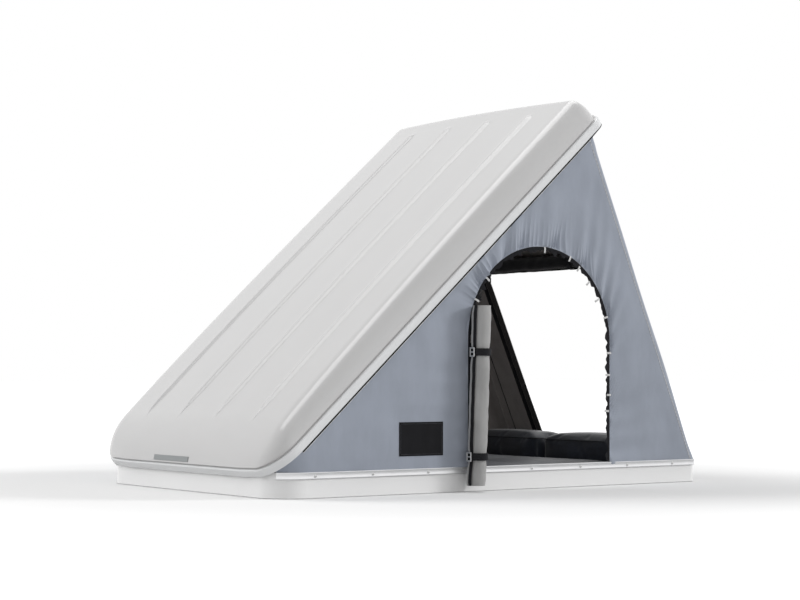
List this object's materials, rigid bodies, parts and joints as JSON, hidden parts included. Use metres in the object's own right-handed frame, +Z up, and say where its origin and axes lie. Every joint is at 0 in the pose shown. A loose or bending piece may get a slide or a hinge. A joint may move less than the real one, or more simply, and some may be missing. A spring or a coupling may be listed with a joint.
{
  "type": "roof top tent",
  "caption": "Hard-shell roof top tent standing open: a moulded lid tilts up from its front hinge on gas struts, with cloth walls, an arched side doorway, a mattress and roof rails.",
  "frame": {"origin": "centre of the underside, on the middle rib of the tray", "axes": "+X along the tent from the hinge end to the rear, +Y across it to the right-hand side, +Z up"},
  "size_m": [2.1521, 1.3901, 1.5645],
  "materials": {
    "shell": "gloss",
    "tray": "gloss",
    "cloth": "matte",
    "inner_cloth": "matte",
    "black_cloth": "matte",
    "mattress": "matte",
    "liner": "matte",
    "panel": "matte",
    "batten_wood": "matte",
    "strip": "satin",
    "rail": "satin",
    "steel": "satin",
    "black_steel": "satin",
    "rod": "polished",
    "rubber": "matte",
    "black_plastic": "matte",
    "webbing": "matte",
    "patch": "matte"
  },
  "bodies": {
    "base": {"base_tray": "tray", "floor_panel": "panel", "mattress_front": "mattress", "mattress_rear": "mattress", "left_strip": "strip", "right_strip": "strip", "rear_strip": "strip", "strip_rivets": "steel", "left_rail": "rail", "right_rail": "rail", "rail_end_caps": "black_plastic", "left_hinge_base_leaf": "steel", "centre_hinge_base_leaf": "steel", "right_hinge_base_leaf": "steel", "left_hinge_pin": "steel", "centre_hinge_pin": "steel", "right_hinge_pin": "steel", "left_strut_stud": "black_steel", "right_strut_stud": "black_steel", "left_latch_plate": "steel", "right_latch_plate": "steel", "left_wall": "cloth", "right_wall": "cloth", "rear_wall": "cloth", "left_door_zip": "black_plastic", "left_zip_pulls": "black_plastic", "left_door_roll": "cloth", "upper_roll_strap": "webbing", "lower_roll_strap": "webbing", "strap_buckles": "steel", "wall_patch": "patch", "right_door_panel": "cloth", "right_door_zip": "black_plastic", "rear_flap": "inner_cloth", "rear_flap_binding": "black_cloth", "rear_door_roll": "black_cloth", "rear_roll_ties": "webbing"},
    "lid": {"lid_shell": "shell", "lid_liner": "liner", "lid_seal": "rubber", "left_batten": "strip", "right_batten": "strip", "rear_batten": "strip", "front_batten": "batten_wood", "nose_plate": "steel", "left_hinge_lid_leaf": "steel", "centre_hinge_lid_leaf": "steel", "right_hinge_lid_leaf": "steel", "left_strut_bracket": "black_steel", "right_strut_bracket": "black_steel", "left_latch_staple": "steel", "right_latch_staple": "steel"},
    "barrel_left": {"left_strut_barrel": "black_steel"},
    "barrel_right": {"right_strut_barrel": "black_steel"},
    "rod_left": {"left_strut_rod": "rod"},
    "rod_right": {"right_strut_rod": "rod"},
    "hasp_left": {"left_hasp": "steel"},
    "hasp_right": {"right_hasp": "steel"}
  },
  "joints": [
    {"name": "lid_hinge", "type": "hinge", "parent": "base", "child": "lid", "pos_m": [-1.03, 0, 0.098], "axis": [0, 1, 0], "range_deg": [0, 41.6], "stiffness_Nm_per_rad": 100, "springref_deg": -88.81, "deforming": ["left_wall", "right_wall", "rear_wall", "left_door_zip", "left_zip_pulls", "left_door_roll", "upper_roll_strap", "lower_roll_strap", "strap_buckles", "wall_patch", "right_door_panel", "right_door_zip", "rear_flap", "rear_flap_binding", "rear_door_roll", "rear_roll_ties"]},
    {"name": "left_barrel_pivot", "type": "hinge", "parent": "base", "child": "barrel_left", "pos_m": [-0.87495, -0.585, 0.04157], "axis": [0, 1, 0], "range_deg": [-0.5, 21.3]},
    {"name": "left_rod_pivot", "type": "hinge", "parent": "lid", "child": "rod_left", "pos_m": [-0.98066, -0.585, 0.25545], "axis": [0, 1, 0], "range_deg": [-21.3, 0.5]},
    {"name": "right_barrel_pivot", "type": "hinge", "parent": "base", "child": "barrel_right", "pos_m": [-0.87495, 0.585, 0.04157], "axis": [0, 1, 0], "range_deg": [-0.5, 21.3]},
    {"name": "right_rod_pivot", "type": "hinge", "parent": "lid", "child": "rod_right", "pos_m": [-0.98066, 0.585, 0.25545], "axis": [0, 1, 0], "range_deg": [-21.3, 0.5]},
    {"name": "left_hasp_hinge", "type": "hinge", "parent": "base", "child": "hasp_left", "pos_m": [1.0638, -0.38, 0.08], "axis": [0, -1, 0], "range_deg": [0, 180]},
    {"name": "right_hasp_hinge", "type": "hinge", "parent": "base", "child": "hasp_right", "pos_m": [1.0638, 0.38, 0.08], "axis": [0, -1, 0], "range_deg": [0, 180]}
  ],
  "couplings": [
    {"joint": "left_barrel_pivot", "follows": "lid_hinge", "ratio": 0.5},
    {"joint": "left_rod_pivot", "follows": "lid_hinge", "ratio": -0.5},
    {"joint": "right_barrel_pivot", "follows": "lid_hinge", "ratio": 0.5},
    {"joint": "right_rod_pivot", "follows": "lid_hinge", "ratio": -0.5}
  ]
}
